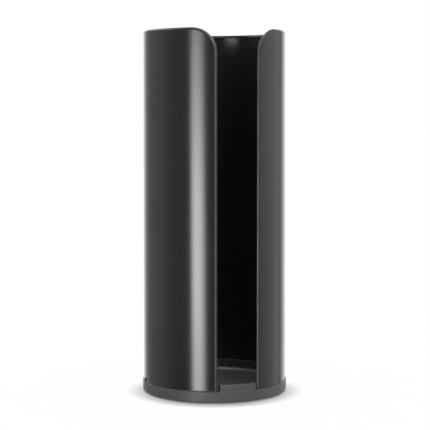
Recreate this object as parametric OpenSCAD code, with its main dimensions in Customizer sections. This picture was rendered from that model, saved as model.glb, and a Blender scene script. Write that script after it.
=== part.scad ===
// Free-standing toilet roll store for three stacked rolls.
// A rolled sheet-steel tube, open along its front, stands in a moulded plastic base on four rubber pads.
// Units are millimetres. The axis of the tube is Z, z = 0 is the floor, and the open slot faces -Y.

/* [Overall size] */
// Height of the whole holder above the floor
total_h = 343; // [250:1:420]
// Outer diameter of the moulded base
base_d = 138; // [120:1:170]

/* [Steel tube] */
// Outer diameter of the rolled tube
tube_d = 136; // [118:1:168]
// Thickness of the steel sheet
sheet_t = 0.8; // [0.5:0.1:1.2]
// Radius of the bend that folds the sheet back on itself
hem_bend_r = 1.2; // [1:0.1:2]
// How far the folded-back strip reaches from the bend
hem_w = 1.5; // [0.5:0.1:12]
// Width of the front slot between the two folded edges
slot_w = 38.8; // [25:1:60]
// Radius of the rounded corners at the top of the slot
corner_r = 23; // [10:1:35]

/* [Snap windows] */
// Width of a window in the lower edge of the tube
window_w = 8; // [4:0.1:10]
// Angle at the axis between the middle of the slot and the window at either side
side_window_angle = 93; // [70:1:120]
// Lower edge of a window above the floor
window_low_z = 9; // [6:0.1:10]
// Upper edge of a window above the floor
window_top_z = 14.4; // [12:0.1:16]
// How far a snap nose stands out of the collar
nose_out = 0.6; // [0.3:0.1:0.8]

/* [Moulded base] */
// Height of the outer rim above the floor
rim_h = 11; // [8:0.5:16]
// Height of the inner collar above the floor
collar_h = 17.2; // [13:0.1:24]
// Wall thickness of the inner collar
collar_t = 1.9; // [1.2:0.1:3]
// Gap between the sheet and the walls of the groove
fit_gap = 0.1; // [0.05:0.05:0.3]
// Height of the groove floor that the tube stands on
groove_z = 3; // [2:0.5:5]
// Height of the surface that the lowest roll stands on
floor_z = 6.5; // [5:0.5:10]
// Thickness of the floor plate
floor_t = 1.9; // [1.2:0.1:3]
// Radius between the floor and the collar
floor_fillet_r = 4.5; // [2:0.5:8]
// Height of the underside of the rim above the floor
rim_clear = 0.6; // [0.3:0.1:1.5]
// Radius of the lower outer edge of the base
rim_edge_r = 1.6; // [0.5:0.1:2]

/* [Front tab] */
// Width of the tab at its top
tab_w = 34.8; // [20:0.1:50]
// Width of the block that the tab stands on
tab_foot_w = 38.2; // [24:0.1:54]
// Height of the tab above the floor
tab_h = 17.3; // [13:0.1:24]
// Radius where the sides of the tab meet the rim
tab_fillet_r = 1.2; // [0.5:0.1:2]
// Radius of the upper corners of the tab
tab_corner_r = 0.9; // [0.3:0.1:2]

/* [Ribs and pads] */
// Number of radial ribs under the floor plate
rib_count = 8; // [4:1:12]
// Thickness of the ribs
rib_t = 1.2; // [0.8:0.1:2]
// Height of the ribs' lower edges above the floor
rib_low_z = 1.6; // [1.2:0.1:2.5]
// Diameter of a rubber pad
pad_d = 12; // [8:0.5:20]
// Thickness of a rubber pad
pad_t = 2; // [1.5:0.1:3]
// Radius of the circle that the pads are set on
pad_circle_r = 52; // [30:1:58]

/* [Hidden] */
$fn = 96;
eps = 0.01;

tube_r = tube_d / 2;
sheet_in_r = tube_r - sheet_t;
bend_in_r = hem_bend_r - sheet_t;
hem_mid_r = tube_r - hem_bend_r;
hem_in_r = tube_r - 2 * hem_bend_r;
flange_out_r = hem_in_r + sheet_t;

// Angles are measured at the axis, from the middle of the slot
tip_angle = asin(slot_w / 2 / hem_mid_r);
bend_angle = tip_angle + degrees_of(hem_bend_r);
flange_angle = degrees_of(hem_w);
corner_angle = tip_angle + degrees_of(corner_r);
corner_z = total_h - corner_r;

base_r = base_d / 2;
rim_in_r = tube_r + fit_gap;
collar_r = sheet_in_r - fit_gap;
collar_in_r = collar_r - collar_t;
collar_angle = bend_angle + flange_angle + degrees_of(1.5);
foot_angle = asin(tab_foot_w / 2 / base_r);
web_z = groove_z - 1.4;
plate_low_z = floor_z - floor_t;

// The layers reach this far into the bends, which lie a hair inside the layers' surfaces
bend_lap = 0.4;
bend_inset = 0.02;
lap_angle = degrees_of(bend_lap);
// The corner bends reach this far into the straight ones, and lie a little further inside
corner_lap = 0.5;
corner_inset = 0.04;

// One window at each side and one at the back
window_angles = [side_window_angle, 180, 360 - side_window_angle];

boss_d = pad_d + 3.6;
boss_low_z = pad_t - 1.2;

// Angle at the axis that a length along the middle of the hem spans
function degrees_of(length) = length / hem_mid_r * 180 / PI;

// Turns a piece drawn with its slot towards +X so that the slot faces -Y
module facing_front() {
    rotate([0, 0, -90]) children();
}

// A part turned about the axis, from one angle to another
module turned(from, to) {
    rotate_extrude(angle = to - from, start = from) children();
}

// Rectangle in the radius-height plane
module section(r1, r2, z1, z2) {
    translate([r1, z1]) square([r2 - r1, z2 - z1]);
}

// Half of a folded bend, open towards -X
module half_bend() {
    intersection() {
        difference() {
            circle(r = hem_bend_r - bend_inset);
            circle(r = bend_in_r + bend_inset);
        }
        translate([0, -2 * hem_bend_r]) square([2 * hem_bend_r, 4 * hem_bend_r]);
    }
}

// ---------- steel tube ----------

// One sheet layer, reaching a little way into the bends along its edges
module layer(r1, r2) {
    turned(bend_angle - lap_angle, 360 - bend_angle + lap_angle)
        section(r1, r2, groove_z, total_h - hem_bend_r + bend_lap);
}

// A round bar through the wall, centred on the rounded corner of the slot
module corner_bar(r) {
    middle = (tip_angle + corner_angle) / 2;
    side = sheet_in_r * sin(corner_angle - middle);
    rotate([0, 0, middle])
        translate([hem_in_r - 6, side, corner_z])
            rotate([0, 90, 0]) cylinder(r = r, h = 14);
}

// What the rounded corner takes away from a layer
module corner_cut() {
    difference() {
        turned(tip_angle - 2, corner_angle) section(hem_in_r - 1, tube_r + 1, corner_z, total_h + 1);
        corner_bar(corner_r - hem_bend_r + bend_lap - 0.05);
    }
}

// Everything inside the folded-back strip, which keeps its width round the corners
module flange_window() {
    inside_r = corner_r - hem_bend_r - hem_w;
    turned(corner_angle - 1, 361 - corner_angle)
        section(hem_in_r - 1, flange_out_r + 0.3, groove_z - 1, corner_z + inside_r);
    for (side = [0, 1]) mirror([0, side, 0]) {
        turned(bend_angle + flange_angle, corner_angle)
            section(hem_in_r - 1.2, flange_out_r + 0.2, groove_z - 1.2, corner_z);
        corner_bar_inside(inside_r - 0.05);
    }
}

// The part of such a bar that lies within the folded-back strip
module corner_bar_inside(r) {
    intersection() {
        corner_bar(r);
        turned(tip_angle, corner_angle)
            section(hem_in_r - 0.8, flange_out_r + 0.1, corner_z - r, corner_z + r + 1);
    }
}

// The folded-back strip along both sides of the slot and round the top
module flange() {
    difference() {
        layer(hem_in_r, flange_out_r);
        flange_window();
    }
}

// Straight bends along the sides of the slot
module side_bend() {
    translate([0, 0, groove_z])
        linear_extrude(corner_z - groove_z)
            rotate(bend_angle) translate([hem_mid_r, 0]) rotate(-90) half_bend();
}

// Bend round the top of the tube, from one rounded corner to the other
module top_bend() {
    turned(corner_angle, 360 - corner_angle)
        translate([hem_mid_r, total_h - hem_bend_r]) rotate(90) half_bend();
}

// Point on the corner bend: station along the bend, angle round it, and radius of the layer.
// The first and last stations reach a little way into the straight bends that they join.
function bend_point(i, last, a, r) =
    let (
        turn = 180 - 90 * min(max(i - 1, 0), last - 2) / (last - 2),
        reach = corner_r - hem_bend_r + r * cos(a),
        angle = corner_angle + degrees_of(reach * cos(turn) + (i == last ? corner_lap : 0)),
        radius = hem_mid_r + r * sin(a),
        z = corner_z + reach * sin(turn) - (i == 0 ? corner_lap : 0)
    )
    [radius * cos(angle), radius * sin(angle), z];

// The bend that follows the rounded corner and the curve of the tube together
module corner_bend(last = 22, steps = 9) {
    row = 2 * (steps + 1);
    points = [
        for (i = [0:last])
            for (r = [hem_bend_r - corner_inset, bend_in_r + corner_inset])
                for (j = [0:steps])
                    bend_point(i, last, -90 + 180 * j / steps, r)
    ];
    outer = [for (i = [0:last - 1]) for (j = [0:steps - 1])
        [i * row + j, (i + 1) * row + j, (i + 1) * row + j + 1, i * row + j + 1]];
    inner = [for (f = outer) [for (k = [3:-1:0]) f[k] + steps + 1]];
    edges = [for (i = [0:last - 1]) for (j = [0, steps])
        let (a = i * row + j, b = a + row, q = [a, a + steps + 1, b + steps + 1, b])
        j == 0 ? q : [q[3], q[2], q[1], q[0]]];
    ends = [for (i = [0, last]) for (j = [0:steps - 1])
        let (q = [i * row + j, i * row + j + 1, i * row + j + steps + 2, i * row + j + steps + 1])
        i == 0 ? q : [q[3], q[2], q[1], q[0]]];
    quads = concat(outer, inner, edges, ends);
    triangles = [for (q = quads) for (t = [[q[0], q[1], q[2]], [q[0], q[2], q[3]]]) t];
    polyhedron(points = points, faces = triangles, convexity = 6);
}

// A window that a snap nose catches in
module window_cut(angle) {
    rotate([0, 0, angle])
        translate([sheet_in_r - 1, -window_w / 2, window_low_z])
            cube([sheet_t + 2, window_w, window_top_z - window_low_z]);
}

module tube() {
    color("#1d1d1f") facing_front() difference() {
        union() {
            difference() {
                union() {
                    layer(sheet_in_r, tube_r);
                    flange();
                }
                for (side = [0, 1]) mirror([0, side, 0]) corner_cut();
            }
            top_bend();
            for (side = [0, 1]) mirror([0, side, 0]) {
                side_bend();
                corner_bend();
            }
        }
        for (angle = window_angles) window_cut(angle);
    }
}

// ---------- moulded base ----------

// What a rounded outer corner takes away, with the corner at the origin and the part at -X, -Y
module corner_waste(r) {
    difference() {
        translate([-r, -r]) square(r + 1);
        translate([-r, -r]) circle(r = r);
    }
}

// Rim, groove, floor plate and the wall between them
module base_section() {
    difference() {
        union() {
            section(collar_in_r, base_r, web_z, groove_z);
            section(base_r - 1.9, base_r, rim_clear, groove_z);
            section(rim_in_r, base_r, groove_z - eps, rim_h);
            section(collar_in_r, collar_r, web_z, floor_z);
            section(0, collar_in_r + eps, plate_low_z, floor_z);
        }
        translate([base_r, rim_h]) corner_waste(0.4);
        translate([base_r, rim_clear]) mirror([0, 1]) corner_waste(rim_edge_r);
    }
}

// Fillet that rises from the floor to the inside of the collar, a little short of tangent to both
module fillet_section() {
    reach = floor_fillet_r - 0.15;
    difference() {
        section(collar_in_r - reach, collar_in_r + eps, floor_z - eps, floor_z + reach);
        translate([collar_in_r - reach, floor_z + reach]) circle(r = floor_fillet_r);
    }
}

module collar_section() {
    difference() {
        section(collar_in_r, collar_r, floor_z - eps, collar_h);
        translate([collar_r, collar_h]) corner_waste(0.5);
        translate([collar_in_r, collar_h]) mirror([1, 0]) corner_waste(0.5);
    }
}

// Outline of the tab seen from the front
module tab_outline() {
    half = tab_w / 2;
    foot = tab_foot_w / 2;
    difference() {
        union() {
            translate([-foot, groove_z - eps]) square([2 * foot, rim_h - groove_z + eps]);
            translate([-half, rim_h - eps]) square([2 * half, tab_h - rim_h + eps]);
            for (side = [0, 1]) mirror([side, 0])
                translate([half - eps, rim_h - eps]) square(tab_fillet_r + eps);
        }
        for (side = [0, 1]) mirror([side, 0]) {
            translate([half + tab_fillet_r, rim_h + tab_fillet_r]) circle(r = tab_fillet_r);
            translate([half, tab_h]) corner_waste(tab_corner_r);
        }
    }
}

// Tab that fills the foot of the slot
module tab() {
    intersection() {
        turned(-foot_angle - 2, foot_angle + 2) difference() {
            section(collar_in_r, base_r, groove_z - eps, tab_h);
            translate([base_r, tab_h]) corner_waste(0.5);
            translate([collar_in_r, tab_h]) mirror([1, 0]) corner_waste(0.5);
        }
        translate([collar_in_r - 8, 0, 0])
            rotate([90, 0, 90]) linear_extrude(base_r - collar_in_r + 10) tab_outline();
    }
    turned(-foot_angle, foot_angle) fillet_section();
}

// Snap nose: flat below, sloping above so that the tube slides over it
module snap_nose(angle) {
    half = window_w / 2 - 0.3;
    rotate([0, 0, angle])
        translate([0, half, 0])
            rotate([90, 0, 0]) linear_extrude(2 * half)
                polygon([
                    [collar_r - 0.5, window_low_z + 0.2],
                    [collar_r + nose_out, window_low_z + 0.2],
                    [collar_r + nose_out, window_low_z + 1.4],
                    [collar_r - 0.5, window_low_z + 4]
                ]);
}

// Rim, groove and floor, with open pockets where the folded slot edges pass down to the groove
module base_body() {
    difference() {
        union() {
            rotate_extrude() base_section();
            for (side = [0, 1]) mirror([0, side, 0])
                turned(foot_angle - 3, collar_angle + 1)
                    section(collar_in_r - 1.4, collar_in_r + 0.5, web_z, floor_z - 0.3);
        }
        for (side = [0, 1]) mirror([0, side, 0])
            turned(foot_angle - 2, collar_angle - 0.2)
                section(collar_in_r + 0.1, collar_r + 0.5, groove_z, floor_z + 1);
    }
}

module pad_place(index) {
    rotate([0, 0, 45 + 90 * index]) translate([pad_circle_r, 0, 0]) children();
}

module ribs() {
    for (i = [0:rib_count - 1])
        rotate([0, 0, 360 / rib_count * i])
            translate([10, -rib_t / 2, rib_low_z])
                cube([collar_in_r - 9.5, rib_t, plate_low_z - rib_low_z + 0.5]);
    rotate_extrude() section(8, 8 + 2 * rib_t, rib_low_z, plate_low_z + 0.5);
    rotate_extrude() section(34, 34 + rib_t, rib_low_z, plate_low_z + 0.5);
}

module base() {
    color("#4a4b4d") facing_front() difference() {
        union() {
            base_body();
            turned(collar_angle, 360 - collar_angle) {
                collar_section();
                fillet_section();
            }
            tab();
            for (angle = window_angles) snap_nose(angle);
            ribs();
            for (i = [0:3]) pad_place(i)
                translate([0, 0, boss_low_z]) cylinder(d = boss_d, h = plate_low_z - boss_low_z + 0.5);
        }
        for (i = [0:3]) pad_place(i)
            translate([0, 0, boss_low_z - 1]) cylinder(d = pad_d + 0.4, h = pad_t - boss_low_z + 1);
    }
}

// ---------- rubber pads ----------

module foot_pad(index) {
    color("#2b2b2b") facing_front() pad_place(index)
        rotate_extrude() difference() {
            section(0, pad_d / 2, 0, pad_t);
            translate([pad_d / 2, 0]) mirror([0, 1]) corner_waste(0.4);
        }
}

tube();
base();
foot_pad(0);  // foot_pad_1
foot_pad(1);  // foot_pad_2
foot_pad(2);  // foot_pad_3
foot_pad(3);  // foot_pad_4
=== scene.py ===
"""Toilet roll holder: surfaces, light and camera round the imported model. Units are metres."""
import math

import bmesh
import bpy
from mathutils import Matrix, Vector


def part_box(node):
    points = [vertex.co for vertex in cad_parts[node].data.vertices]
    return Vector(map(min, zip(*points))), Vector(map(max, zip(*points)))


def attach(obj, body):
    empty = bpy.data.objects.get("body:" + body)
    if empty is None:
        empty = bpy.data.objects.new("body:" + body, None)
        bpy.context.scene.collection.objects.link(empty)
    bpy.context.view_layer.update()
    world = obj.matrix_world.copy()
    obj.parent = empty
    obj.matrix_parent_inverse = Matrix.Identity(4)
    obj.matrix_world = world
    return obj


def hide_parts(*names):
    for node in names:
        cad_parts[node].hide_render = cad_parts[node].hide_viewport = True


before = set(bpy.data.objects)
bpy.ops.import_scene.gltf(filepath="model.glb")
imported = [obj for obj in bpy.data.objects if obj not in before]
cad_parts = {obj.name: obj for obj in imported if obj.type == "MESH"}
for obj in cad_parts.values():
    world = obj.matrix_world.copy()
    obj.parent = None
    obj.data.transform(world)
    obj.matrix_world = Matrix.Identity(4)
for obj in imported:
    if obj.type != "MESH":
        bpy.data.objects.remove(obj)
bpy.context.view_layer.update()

# ---------------------------------------------------------------- sizes

MM = 0.001
TUBE_LOW, TUBE_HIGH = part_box("tube")

TUBE_R = (TUBE_HIGH.x - TUBE_LOW.x) / 2
TUBE_FOOT_Z = TUBE_LOW.z
TUBE_TOP_Z = TUBE_HIGH.z
SHEET_T = 0.8 * MM
BEND_R = 1.2 * MM
BEND_IN_R = BEND_R - SHEET_T
BEND_W = 2.6 * MM
BEND_IN_W = BEND_W - SHEET_T
HEM_MID_R = TUBE_R - BEND_R
HEM_W = 1.5 * MM
SLOT_HALF = 19.4 * MM
CORNER_R = 23.0 * MM
WINDOW_HALF = 4.0 * MM
SIDE_WINDOW_ANGLE = 93.0
WINDOW_LOW_Z = 9.0 * MM
WINDOW_TOP_Z = 14.4 * MM
RIM_TOP_Z = 11.0 * MM
TAB_TOP_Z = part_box("base")[1].z
COLLAR_IN_R = 65.3 * MM
GROOVE_MID_R = 67.0 * MM

# Lengths along the sheet are measured at the middle of the hem, from the middle of the slot
FULL_ARC = 2 * math.pi * HEM_MID_R
TIP_ARC = math.asin(SLOT_HALF / HEM_MID_R) * HEM_MID_R
CORNER_ARC = TIP_ARC + CORNER_R
CORNER_Z = TUBE_TOP_Z - CORNER_R
BEND_REACH = CORNER_R - BEND_W
FLANGE_REACH = CORNER_R - BEND_R - HEM_W


# ---------------------------------------------------------------- mesh tools

MERGE_DISTANCE = 0.0002 * MM
SHARP_ANGLE = math.radians(40.0)


def spread(start, end, step):
    """Evenly spaced values from start to end, about step apart."""
    count = max(1, round(abs(end - start) / step))
    return [start + (end - start) * i / count for i in range(count + 1)]


def add_grid(bm, rows, skip=None, wear=None):
    """Quads over a grid of points. skip(i, j) leaves a cell open, wear(j) is the wear of a column."""
    layer = bm.verts.layers.float["wear"]
    verts = [[bm.verts.new(p) for p in row] for row in rows]
    if wear:
        for row in verts:
            for j, vert in enumerate(row):
                vert[layer] = wear(j)
    for i in range(len(rows) - 1):
        for j in range(len(rows[0]) - 1):
            if skip and skip(i, j):
                continue
            corners = [verts[i][j], verts[i][j + 1], verts[i + 1][j + 1], verts[i + 1][j]]
            bm.faces.new(corners)


def finish_mesh(bm, name, material, replaces):
    """Closes the seams between grids and makes the object, riding on the frame."""
    bmesh.ops.remove_doubles(bm, verts=bm.verts, dist=MERGE_DISTANCE)
    bmesh.ops.recalc_face_normals(bm, faces=bm.faces)
    mesh = bpy.data.meshes.new(name)
    bm.to_mesh(mesh)
    bm.free()
    for polygon in mesh.polygons:
        polygon.use_smooth = True
    mesh.set_sharp_from_angle(angle=SHARP_ANGLE)
    mesh.materials.append(material)
    obj = bpy.data.objects.new(name, mesh)
    bpy.context.scene.collection.objects.link(obj)
    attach(obj, "root")
    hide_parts(*replaces)


# ---------------------------------------------------------------- materials

class Nodes:
    """A small helper that adds nodes to a material or world and links them."""

    def __init__(self, owner):
        owner.use_nodes = True
        self.tree = owner.node_tree
        self.tree.nodes.clear()

    def feed(self, socket, value):
        """Links the socket to another one, or sets its value."""
        if isinstance(value, bpy.types.NodeSocket):
            self.tree.links.new(value, socket)
        else:
            socket.default_value = value

    def add(self, kind, inputs=None, **settings):
        """A new node, with its settings and with inputs by name or number."""
        node = self.tree.nodes.new(kind)
        for key, value in settings.items():
            setattr(node, key, value)
        for key, value in (inputs or {}).items():
            self.feed(node.inputs[key], value)
        return node

    def math(self, operation, a, b=0.0, clamp=False):
        """One operation on two numbers."""
        node = self.add("ShaderNodeMath", {0: a, 1: b}, operation=operation, use_clamp=clamp)
        return node.outputs[0]

    def near(self, value, centre, width):
        """1 where value is at centre, falling to 0 at width from it."""
        away = self.math("ABSOLUTE", self.math("SUBTRACT", value, centre))
        return self.math("SUBTRACT", 1.0, self.math("DIVIDE", away, width), clamp=True)

    def noise(self, vector, scale, detail=2.0, roughness=0.5):
        """Cloudy noise, mostly between 0.3 and 0.7."""
        inputs = {"Vector": vector, "Scale": scale, "Detail": detail, "Roughness": roughness}
        return self.add("ShaderNodeTexNoise", inputs).outputs["Fac"]

    def remap(self, value, low, high, to_low, to_high):
        """Takes low to to_low and high to to_high, and stays level beyond both."""
        inputs = {"Value": value, "From Min": low, "From Max": high, "To Min": to_low, "To Max": to_high}
        return self.add("ShaderNodeMapRange", inputs).outputs["Result"]

    def mix(self, factor, colour_a, colour_b):
        """A blend of two colours. They are a Mix node's inputs 6 and 7, and the blend is its output 2."""
        node = self.add("ShaderNodeMix", {0: factor, 6: colour_a, 7: colour_b}, data_type="RGBA")
        return node.outputs[2]

    def curve(self, value, points, peak=1.0):
        """The height of a line through (value, height) points, level past both ends, times peak."""
        first, last = points[0][0], points[-1][0]
        top = max(height for _, height in points)
        ramp = self.add("ShaderNodeValToRGB", {"Fac": self.remap(value, first, last, 0.0, 1.0)})
        elements = ramp.color_ramp.elements
        while len(elements) < len(points):
            elements.new(0.5)
        for element, (place, height) in zip(elements, points):
            element.position = (place - first) / (last - first)
            level = height / top
            element.color = (level, level, level, 1.0)
        return self.math("MULTIPLY", ramp.outputs["Color"], top * peak)

    def bump(self, height, distance, strength=1.0, normal=None):
        """A surface raised by height, on top of another bumped surface if normal is given."""
        inputs = {"Height": height, "Distance": distance, "Strength": strength}
        if normal:
            inputs["Normal"] = normal
        return self.add("ShaderNodeBump", inputs).outputs["Normal"]


def grey(value, tint=0.0):
    """A neutral colour, a little cooler with tint."""
    return (value * (1 - tint), value, value * (1 + tint), 1.0)


# The painted shade line where the tube enters the base, and how far it runs from the slot
SHADE_LINE_Z = RIM_TOP_Z + 0.3 * MM
SHADE_LINE_W = 1.1 * MM
SHADE_LINE_FULL_ANGLE = math.radians(22.0)
SHADE_LINE_END_ANGLE = math.radians(48.0)


def powder_coat():
    """Satin black powder coat with faint orange peel and uneven sheen, rubbed along the folded edges, and
    with painted shade in a line where it enters the base beside the slot.
    """
    material = bpy.data.materials.new("powder_coat")
    n = Nodes(material)
    place = n.add("ShaderNodeTexCoord").outputs["Object"]
    cloud = n.noise(place, scale=14.0, detail=3.0, roughness=0.55)
    peel = n.noise(place, scale=620.0, detail=2.0, roughness=0.45)
    speck = n.noise(place, scale=2600.0, detail=1.0, roughness=0.5)
    colour = n.mix(cloud, grey(0.0125, tint=0.02), grey(0.0165, tint=0.02))
    wear = n.add("ShaderNodeAttribute", attribute_name="wear").outputs["Fac"]
    rub = n.noise(place, scale=45.0, detail=3.0, roughness=0.6)
    rubbed = n.math("MULTIPLY", wear, n.remap(rub, 0.3, 0.7, 0.25, 0.75), clamp=True)
    colour = n.mix(rubbed, colour, grey(0.05))
    rough = n.remap(cloud, 0.25, 0.75, 0.17, 0.2)
    rough = n.math("ADD", rough, n.math("MULTIPLY", n.math("SUBTRACT", peel, 0.5), 0.04))
    # Painted shade: a dark, rougher line where the tube enters the base, most of it next to the slot
    xyz = n.add("ShaderNodeSeparateXYZ", {0: place})
    forward = n.math("MULTIPLY", xyz.outputs["Y"], -1.0)
    turn = n.math("ABSOLUTE", n.math("ARCTAN2", xyz.outputs["X"], forward))
    beside = n.remap(turn, SHADE_LINE_FULL_ANGLE, SHADE_LINE_END_ANGLE, 1.0, 0.0)
    painted_shade = n.math("MULTIPLY", beside, n.near(xyz.outputs["Z"], SHADE_LINE_Z, SHADE_LINE_W), clamp=True)
    colour = n.mix(painted_shade, colour, grey(0.008))
    rough = n.math("ADD", rough, n.math("MULTIPLY", painted_shade, 0.6))
    normal = n.bump(peel, 0.035 * MM, strength=0.5)
    normal = n.bump(speck, 0.006 * MM, strength=0.4, normal=normal)
    shader = n.add("ShaderNodeBsdfPrincipled", {
        "Base Color": colour, "Roughness": rough, "Normal": normal, "Specular IOR Level": 0.5,
    })
    n.add("ShaderNodeOutputMaterial", {"Surface": shader.outputs[0]})
    return material


# Heights and widths of the rubbed edges with their painted highlight, of the painted highlight on the
# fillet and of the painted shade in the groove
RIM_WEAR_AND_HIGHLIGHT_W = 0.5 * MM
TAB_WEAR_AND_HIGHLIGHT_W = 0.6 * MM
FILLET_HIGHLIGHT_Z = 8.0 * MM
FILLET_HIGHLIGHT_W = 1.7 * MM
GROOVE_SHADE_W = 1.6 * MM
GROOVE_SHADE_TOP_Z = TAB_TOP_Z - 0.8 * MM


def moulded_plastic():
    """Dark grey moulded plastic with a fine spark-eroded grain, paler along rubbed top edges that also
    carry a painted highlight, with a painted highlight on the fillet and painted shade in the groove.
    """
    material = bpy.data.materials.new("moulded_base")
    n = Nodes(material)
    place = n.add("ShaderNodeTexCoord").outputs["Object"]
    xyz = n.add("ShaderNodeSeparateXYZ", {0: place})
    cloud = n.noise(place, scale=30.0, detail=3.0, roughness=0.6)
    grain = n.noise(place, scale=1500.0, detail=3.0, roughness=0.6)
    coarse = n.noise(place, scale=520.0, detail=2.0, roughness=0.5)
    colour = n.mix(cloud, grey(0.051, tint=0.02), grey(0.062, tint=0.02))
    # The top edges of the rim and the tab are paler: rubbed wear, and a painted highlight along each edge
    rim_wear_and_highlight = n.near(xyz.outputs["Z"], RIM_TOP_Z, RIM_WEAR_AND_HIGHLIGHT_W)
    tab_wear_and_highlight = n.near(xyz.outputs["Z"], TAB_TOP_Z, TAB_WEAR_AND_HIGHLIGHT_W)
    rub = n.noise(place, scale=240.0, detail=4.0, roughness=0.6)
    rubbed = n.math("MULTIPLY", n.math("MAXIMUM", rim_wear_and_highlight, tab_wear_and_highlight), n.remap(rub, 0.4, 0.7, 0.1, 0.8))
    colour = n.mix(rubbed, colour, grey(0.13))
    # A painted highlight lies on the fillet that the rolls slide down and stand against: a pale band, a
    # little smoother
    flat = n.add("ShaderNodeCombineXYZ", {0: xyz.outputs["X"], 1: xyz.outputs["Y"]}).outputs[0]
    radius = n.add("ShaderNodeVectorMath", {0: flat}, operation="LENGTH").outputs["Value"]
    inside = n.math("LESS_THAN", radius, COLLAR_IN_R)
    fillet_highlight = n.math("MULTIPLY", inside, n.near(xyz.outputs["Z"], FILLET_HIGHLIGHT_Z, FILLET_HIGHLIGHT_W))
    fillet_highlight = n.math("MULTIPLY", fillet_highlight, n.remap(cloud, 0.3, 0.7, 0.8, 1.0))
    colour = n.mix(fillet_highlight, colour, grey(0.34))
    rough = n.math("SUBTRACT", n.remap(grain, 0.3, 0.7, 0.45, 0.58), n.math("MULTIPLY", fillet_highlight, 0.2))
    # Painted shade darkens the groove that the tube stands in
    groove = n.near(radius, GROOVE_MID_R, GROOVE_SHADE_W)
    groove = n.math("MULTIPLY", groove, n.math("LESS_THAN", xyz.outputs["Z"], GROOVE_SHADE_TOP_Z))
    colour = n.mix(n.math("MULTIPLY", groove, 2.0, clamp=True), colour, grey(0.006))
    normal = n.bump(coarse, 0.03 * MM, strength=0.5)
    normal = n.bump(grain, 0.02 * MM, strength=0.7, normal=normal)
    shader = n.add("ShaderNodeBsdfPrincipled", {
        "Base Color": colour, "Roughness": rough, "Normal": normal, "Specular IOR Level": 0.5,
    })
    n.add("ShaderNodeOutputMaterial", {"Surface": shader.outputs[0]})
    return material


def pad_rubber():
    """Matte black rubber with a slightly dusty, grainy face."""
    material = bpy.data.materials.new("pad_rubber")
    n = Nodes(material)
    place = n.add("ShaderNodeTexCoord").outputs["Object"]
    dust = n.noise(place, scale=300.0, detail=4.0, roughness=0.6)
    colour = n.mix(dust, grey(0.014), grey(0.032))
    rough = n.remap(dust, 0.3, 0.7, 0.75, 0.92)
    pitting = n.noise(place, scale=1800.0, detail=2.0, roughness=0.5)
    normal = n.bump(pitting, 0.03 * MM, strength=0.6)
    shader = n.add("ShaderNodeBsdfPrincipled", {
        "Base Color": colour, "Roughness": rough, "Normal": normal,
    })
    n.add("ShaderNodeOutputMaterial", {"Surface": shader.outputs[0]})
    return material


# ---------------------------------------------------------------- tube

def tube_point(arc, height, radius):
    """A point at a length along the sheet from the middle of the slot, at a height and a radius."""
    angle = arc / HEM_MID_R
    return Vector((radius * math.sin(angle), -radius * math.cos(angle), height))


def mirrored(point):
    """The same point on the other side of the slot."""
    return Vector((-point.x, point.y, point.z))


# Reaches are measured from the centre of the rounded corner towards the edge of the sheet
REACHES = [BEND_REACH, FLANGE_REACH] + [r * MM for r in (19.4, 18.0, 16.0, 13.5, 10.5, 7.0, 3.5, 0.0)]
FLANGE_ROWS = REACHES.index(FLANGE_REACH) + 1
# Turns go round the rounded corner, from the side of the slot (180 degrees) to the top (90 degrees)
TURNS = spread(180.0, 90.0, 4.5)
COLUMN_STEP = 2.3 * MM
WINDOW_STEP = 3.0 * MM
ROW_STEP = 10.0 * MM
BEND_STEPS = 14
WORN_STEPS = range(5, 13)
BEVEL = 0.12 * MM


def window_arcs():
    """Where each snap window starts and ends along the sheet."""
    half = math.asin(WINDOW_HALF / TUBE_R) * HEM_MID_R
    angles = (SIDE_WINDOW_ANGLE, 180.0, 360.0 - SIDE_WINDOW_ANGLE)
    middles = [FULL_ARC * angle / 360.0 for angle in angles]
    return [(middle - half, middle + half) for middle in middles]


def middle_arcs():
    """Columns of the sheet between the two rounded corners, with one on each side of every window."""
    stops = [CORNER_ARC] + [arc for pair in window_arcs() for arc in pair] + [FULL_ARC - CORNER_ARC]
    arcs = [stops[0]]
    for start, end in zip(stops, stops[1:]):
        arcs += spread(start, end, COLUMN_STEP)[1:]
    return arcs


def low_heights():
    """Rows of the sheet below the rounded corners, with one at the top and bottom of the windows."""
    heights = spread(TUBE_FOOT_Z, WINDOW_LOW_Z, WINDOW_STEP)
    heights += spread(WINDOW_LOW_Z, WINDOW_TOP_Z, WINDOW_STEP)[1:]
    return heights + spread(WINDOW_TOP_Z, CORNER_Z, ROW_STEP)[1:]


def between(values, low, high):
    """The values from low to high, with both ends."""
    return [v for v in values if low - MERGE_DISTANCE <= v <= high + MERGE_DISTANCE]


def in_window(arc, height):
    """Whether that place on the sheet is cut away by a snap window."""
    inside = any(start < arc < end for start, end in window_arcs())
    return inside and WINDOW_LOW_Z < height < WINDOW_TOP_Z


def add_both(bm, rows, wear=None):
    """A grid on one side of the slot, and its mirror image on the other."""
    add_grid(bm, rows, wear=wear)
    add_grid(bm, [[mirrored(p) for p in row] for row in rows], wear=wear)


def add_sheet(bm, radius, reaches):
    """A face of the sheet over the given reaches: beside the slot, round the corners, along the top."""
    heights = low_heights()
    add_both(bm, [[tube_point(CORNER_ARC - r, z, radius) for r in reaches] for z in heights])
    corner = []
    for turn in TURNS:
        c, s = math.cos(math.radians(turn)), math.sin(math.radians(turn))
        corner.append([tube_point(CORNER_ARC + r * c, CORNER_Z + r * s, radius) for r in reaches])
    add_both(bm, corner)
    add_grid(bm, [[tube_point(arc, CORNER_Z + r, radius) for arc in middle_arcs()] for r in reaches])


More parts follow.
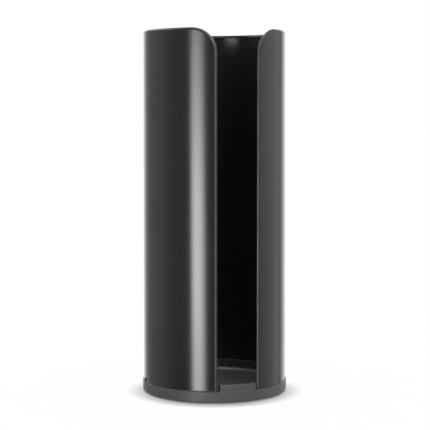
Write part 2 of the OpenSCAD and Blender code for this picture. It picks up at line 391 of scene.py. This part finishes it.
def add_back(bm, radius):
    """The rest of that face, with the snap windows left open."""
    arcs, heights = middle_arcs(), low_heights()

    def skip(i, j):
        return in_window((arcs[j] + arcs[j + 1]) / 2, (heights[i] + heights[i + 1]) / 2)

    add_grid(bm, [[tube_point(arc, z, radius) for arc in arcs] for z in heights], skip=skip)


def add_window_walls(bm):
    """The thickness of the sheet round every snap window."""
    for start, end in window_arcs():
        arcs = between(middle_arcs(), start, end)
        heights = between(low_heights(), WINDOW_LOW_Z, WINDOW_TOP_Z)
        radii = (TUBE_R - SHEET_T, TUBE_R)
        for z in (heights[0], heights[-1]):
            add_grid(bm, [[tube_point(a, z, r) for a in arcs] for r in radii])
        for a in (arcs[0], arcs[-1]):
            add_grid(bm, [[tube_point(a, z, r) for z in heights] for r in radii])


def along_edge(make_row):
    """The rows that make_row gives up the side of the slot, round the corner and over the top."""
    sides = [make_row(CORNER_ARC, z, 180.0) for z in low_heights()]
    corner = [make_row(CORNER_ARC, CORNER_Z, turn) for turn in TURNS]
    top = [make_row(arc, CORNER_Z, 90.0) for arc in middle_arcs()]
    return sides, corner, top


def add_swept(bm, profile, wear=None):
    """Sweeps a profile of (reach, radius) points along the whole edge."""
    def row(arc, height, turn):
        c, s = math.cos(math.radians(turn)), math.sin(math.radians(turn))
        return [tube_point(arc + reach * c, height + reach * s, radius) for reach, radius in profile]

    sides, corner, top = along_edge(row)
    add_both(bm, sides, wear)
    add_both(bm, corner, wear)
    add_grid(bm, top, wear=wear)


def bend_profile(width, radius):
    """Half an ellipse: the bend is pressed flatter than a half circle."""
    angles = [math.radians(a) for a in spread(-90.0, 90.0, 180.0 / BEND_STEPS)]
    return [(BEND_REACH + width * math.cos(a), HEM_MID_R + radius * math.sin(a)) for a in angles]


def cut_profile():
    """The cut edge of the folded-back strip, with both its corners taken off."""
    low, high = HEM_MID_R - BEND_R, HEM_MID_R - BEND_IN_R
    return [(FLANGE_REACH, low), (FLANGE_REACH - BEVEL, low + BEVEL),
            (FLANGE_REACH - BEVEL, high - BEVEL), (FLANGE_REACH, high)]


def add_foot(bm):
    """Closes the lower edge, which stands in the groove of the base."""
    def foot_row(profile):
        return [tube_point(CORNER_ARC - reach, TUBE_FOOT_Z, radius) for reach, radius in profile]

    sheet = (TUBE_R - SHEET_T, TUBE_R)
    flange = (HEM_MID_R - BEND_R, HEM_MID_R - BEND_IN_R)
    for radii, reaches in ((sheet, REACHES), (flange, REACHES[:FLANGE_ROWS])):
        add_both(bm, [foot_row([(reach, radius) for reach in reaches]) for radius in radii])
    add_grid(bm, [[tube_point(arc, TUBE_FOOT_Z, radius) for arc in middle_arcs()] for radius in sheet])
    add_both(bm, [foot_row(bend_profile(BEND_IN_W, BEND_IN_R)), foot_row(bend_profile(BEND_W, BEND_R))])
    low, low_bevel, high_bevel, high = foot_row(cut_profile())
    add_both(bm, [[low, high], [low_bevel, high_bevel]])


def make_tube(material):
    """The rolled sheet with its edges folded back inside, as one closed skin of true thickness."""
    bm = bmesh.new()
    bm.verts.layers.float.new("wear")
    for radius in (TUBE_R, TUBE_R - SHEET_T):
        add_sheet(bm, radius, REACHES)
        add_back(bm, radius)
    for radius in (HEM_MID_R - BEND_IN_R, HEM_MID_R - BEND_R):
        add_sheet(bm, radius, REACHES[:FLANGE_ROWS])

    add_swept(bm, bend_profile(BEND_W, BEND_R), wear=lambda j: float(j in WORN_STEPS))
    add_swept(bm, bend_profile(BEND_IN_W, BEND_IN_R))
    add_swept(bm, cut_profile())
    add_window_walls(bm)
    add_foot(bm)
    finish_mesh(bm, "hemmed_tube", material, replaces=("tube",))


# ---------------------------------------------------------------- camera, light, floor

CAMERA_AZIMUTH = math.radians(-18.9)
CAMERA_DISTANCE = 1.269
CAMERA_HEIGHT = 0.2636
CAMERA_PITCH = math.radians(4.282)
CAMERA_YAW = math.radians(-0.019)
CAMERA_LENS = 111.2


def make_camera():
    """The camera in front of the holder and a little to the left, pitched a little downwards."""
    data = bpy.data.cameras.new("camera")
    data.lens = CAMERA_LENS
    data.sensor_width = 36.0
    camera = bpy.data.objects.new("camera", data)
    camera.location = (
        CAMERA_DISTANCE * math.sin(CAMERA_AZIMUTH),
        -CAMERA_DISTANCE * math.cos(CAMERA_AZIMUTH),
        CAMERA_HEIGHT,
    )
    camera.rotation_euler = (math.pi / 2 - CAMERA_PITCH, 0.0, CAMERA_AZIMUTH + CAMERA_YAW)
    bpy.context.scene.collection.objects.link(camera)
    bpy.context.scene.camera = camera


# The studio is a world of soft light. Directions are degrees round the object, from the camera
# towards its right, and degrees above the horizon. Brightness is 1 for the white backdrop.
BACKDROP_HIGH = [
    (-180, 2.0), (-158, 2.0), (-146, 1.1), (-137, 0.62), (-127, 0.5), (-104, 0.58), (-85, 0.46),
    (-69, 0.26), (-50, 0.12), (0, 0.08), (50, 0.3), (70, 1.0), (76, 1.15), (96, 1.25), (118, 1.2),
    (126, 0.9), (132, 0.25), (139, 1.6), (155, 2.3), (180, 2.2),
]
BACKDROP_LOW = [
    (-180, 1.3), (-158, 1.3), (-146, 0.75), (-137, 0.5), (-127, 0.45), (-104, 0.55), (-85, 0.44),
    (-69, 0.26), (-50, 0.12), (0, 0.08), (50, 0.2), (70, 0.5), (76, 0.55), (96, 0.7), (118, 1.0),
    (126, 0.85), (132, 0.25), (139, 1.0), (155, 1.5), (180, 1.4),
]
# The low backdrop ends and the high one takes over between these two, and the ceiling further up
LOW_END, HIGH_START = -12.0, 4.0
CEILING = 0.35
CEILING_START, CEILING_FULL = 30.0, 55.0

STRIP_PEAK = 17.6
STRIP_CENTRE = -25.7
STRIP_LEAN = -0.2
STRIP_ACROSS = [(-13.5, 0), (-10.5, 0.62), (-7.5, 1.0), (-1, 1.0), (4.5, 0.75), (8, 0.42), (10.5, 0)]
STRIP_UP = [
    (-34, 0), (-22, 0.4), (-14, 0.5), (-10, 0.66), (-6, 1.0), (-2, 0.74), (3, 0.32), (7, 0.1), (20, 0),
]

# Soft boxes beside the strip: brightness, then how strong they are across and up
SOFT_BOXES = [
    # high in front, seen in the rounded corners, the fillet and the upper edges
    (2.2, [(-30, 0), (-14, 0.5), (4, 1.0), (58, 1.0), (66, 0)],
     [(18, 0), (26, 1.0), (44, 1.0), (54, 0)]),
    # high at the left, for the base
    (2.2, [(-150, 0), (-130, 1.0), (-80, 1.0), (-60, 0)],
     [(16, 0), (24, 1.0), (50, 1.0), (60, 0)]),
    # low at the right, seen in the folded edge at the left of the slot
    (2.2, [(8, 0), (13, 1.0), (28, 1.0), (36, 0)],
     [(-18, 0), (-14, 1.0), (3, 1.0), (10, 1.8), (22, 1.8), (30, 0)]),
]

TOP_PEAK = 6.5
TOP_UP = [(75, 0), (80, 1.0)]


def make_world():
    """The studio's light, all in the world's shader: backdrop, ceiling, strip, soft boxes and top light."""
    world = bpy.data.worlds.new("studio")
    bpy.context.scene.world = world
    n = Nodes(world)
    direction = n.add("ShaderNodeTexCoord").outputs["Generated"]
    towards = (math.sin(CAMERA_AZIMUTH), -math.cos(CAMERA_AZIMUTH), 0.0)
    right = (math.cos(CAMERA_AZIMUTH), math.sin(CAMERA_AZIMUTH), 0.0)
    sideways, forwards = [
        n.add("ShaderNodeVectorMath", {0: direction, 1: axis}, operation="DOT_PRODUCT").outputs["Value"]
        for axis in (right, towards)
    ]
    across = n.math("DEGREES", n.math("ARCTAN2", sideways, forwards))
    height = n.add("ShaderNodeSeparateXYZ", {0: direction}).outputs["Z"]
    up = n.math("DEGREES", n.math("ARCSINE", height))

    low = n.curve(across, BACKDROP_LOW)
    high = n.curve(across, BACKDROP_HIGH)
    rise = n.remap(up, LOW_END, HIGH_START, 0.0, 1.0)
    backdrop = n.math("ADD", low, n.math("MULTIPLY", rise, n.math("SUBTRACT", high, low)))
    above = n.remap(up, CEILING_START, CEILING_FULL, 0.0, 1.0)
    backdrop = n.math("ADD", backdrop, n.math("MULTIPLY", above, n.math("SUBTRACT", CEILING, backdrop)))

    middle = n.math("ADD", n.math("MULTIPLY", up, STRIP_LEAN), STRIP_CENTRE)
    strip_across = n.curve(n.math("SUBTRACT", across, middle), STRIP_ACROSS)
    strip = n.math("MULTIPLY", strip_across, n.curve(up, STRIP_UP, STRIP_PEAK))
    light = n.math("ADD", n.math("ADD", backdrop, strip), n.curve(up, TOP_UP, TOP_PEAK))
    for peak, box_across, box_up in SOFT_BOXES:
        box = n.math("MULTIPLY", n.curve(across, box_across), n.curve(up, box_up, peak))
        light = n.math("ADD", light, box)

    # The camera itself sees the whole backdrop as plain white
    seen = n.add("ShaderNodeLightPath").outputs["Is Camera Ray"]
    light = n.math("ADD", light, n.math("MULTIPLY", seen, n.math("SUBTRACT", 1.0, light)))
    shader = n.add("ShaderNodeBackground", {"Color": (1.0, 1.0, 1.0, 1.0), "Strength": light})
    n.add("ShaderNodeOutputWorld", {"Surface": shader.outputs[0]})


# The floor fades out between two radii, and its edge lies just beyond
FLOOR_FULL_R = 0.15
FLOOR_END_R = 0.30
FLOOR_EDGE_R = 0.306
CONTACT_REACH = 0.018
CONTACT_LEAN = 0.8


def make_floor():
    """Plain pale floor that blends into the studio round it, and is darker where the object stands."""
    bm = bmesh.new()
    bmesh.ops.create_circle(bm, cap_ends=True, radius=FLOOR_EDGE_R, segments=96)
    mesh = bpy.data.meshes.new("floor")
    bm.to_mesh(mesh)
    bm.free()
    floor = bpy.data.objects.new("floor", mesh)
    bpy.context.scene.collection.objects.link(floor)
    material = bpy.data.materials.new("pale_floor")
    n = Nodes(material)
    place = n.add("ShaderNodeTexCoord").outputs["Object"]
    distance = n.add("ShaderNodeVectorMath", {0: place}, operation="LENGTH").outputs["Value"]
    fade = n.add("ShaderNodeMapRange", {
        "Value": distance, "From Min": FLOOR_FULL_R, "From Max": FLOOR_END_R,
    }, interpolation_type="SMOOTHSTEP").outputs["Result"]
    pale = n.mix(n.noise(place, scale=40.0), grey(0.985), grey(1.0))
    # The floor is lit from above and behind, so it's darkest along the front of the base
    lit_from = n.add("ShaderNodeCombineXYZ", {
        0: -CONTACT_LEAN * math.sin(CAMERA_AZIMUTH), 1: CONTACT_LEAN * math.cos(CAMERA_AZIMUTH), 2: 1.0,
    }).outputs[0]
    open_sky = n.add("ShaderNodeAmbientOcclusion", {
        "Color": pale, "Distance": CONTACT_REACH, "Normal": lit_from,
    }, samples=16)
    surface = n.add("ShaderNodeEmission", {"Color": open_sky.outputs["Color"]}).outputs[0]
    clear = n.add("ShaderNodeBsdfTransparent").outputs[0]
    mixed = n.add("ShaderNodeMixShader", {0: fade, 1: surface, 2: clear}).outputs[0]
    n.add("ShaderNodeOutputMaterial", {"Surface": mixed})
    mesh.materials.append(material)
    floor.visible_glossy = False
    floor.visible_diffuse = False


# ---------------------------------------------------------------- build

coat = powder_coat()
plastic = moulded_plastic()
rubber = pad_rubber()

make_tube(coat)
for name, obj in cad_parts.items():
    finish = {"base": plastic, "tube": coat}.get(name, rubber)
    for index in range(len(obj.material_slots)):
        obj.material_slots[index].material = finish

make_camera()
make_world()
make_floor()
bpy.context.scene.view_settings.view_transform = "Standard"
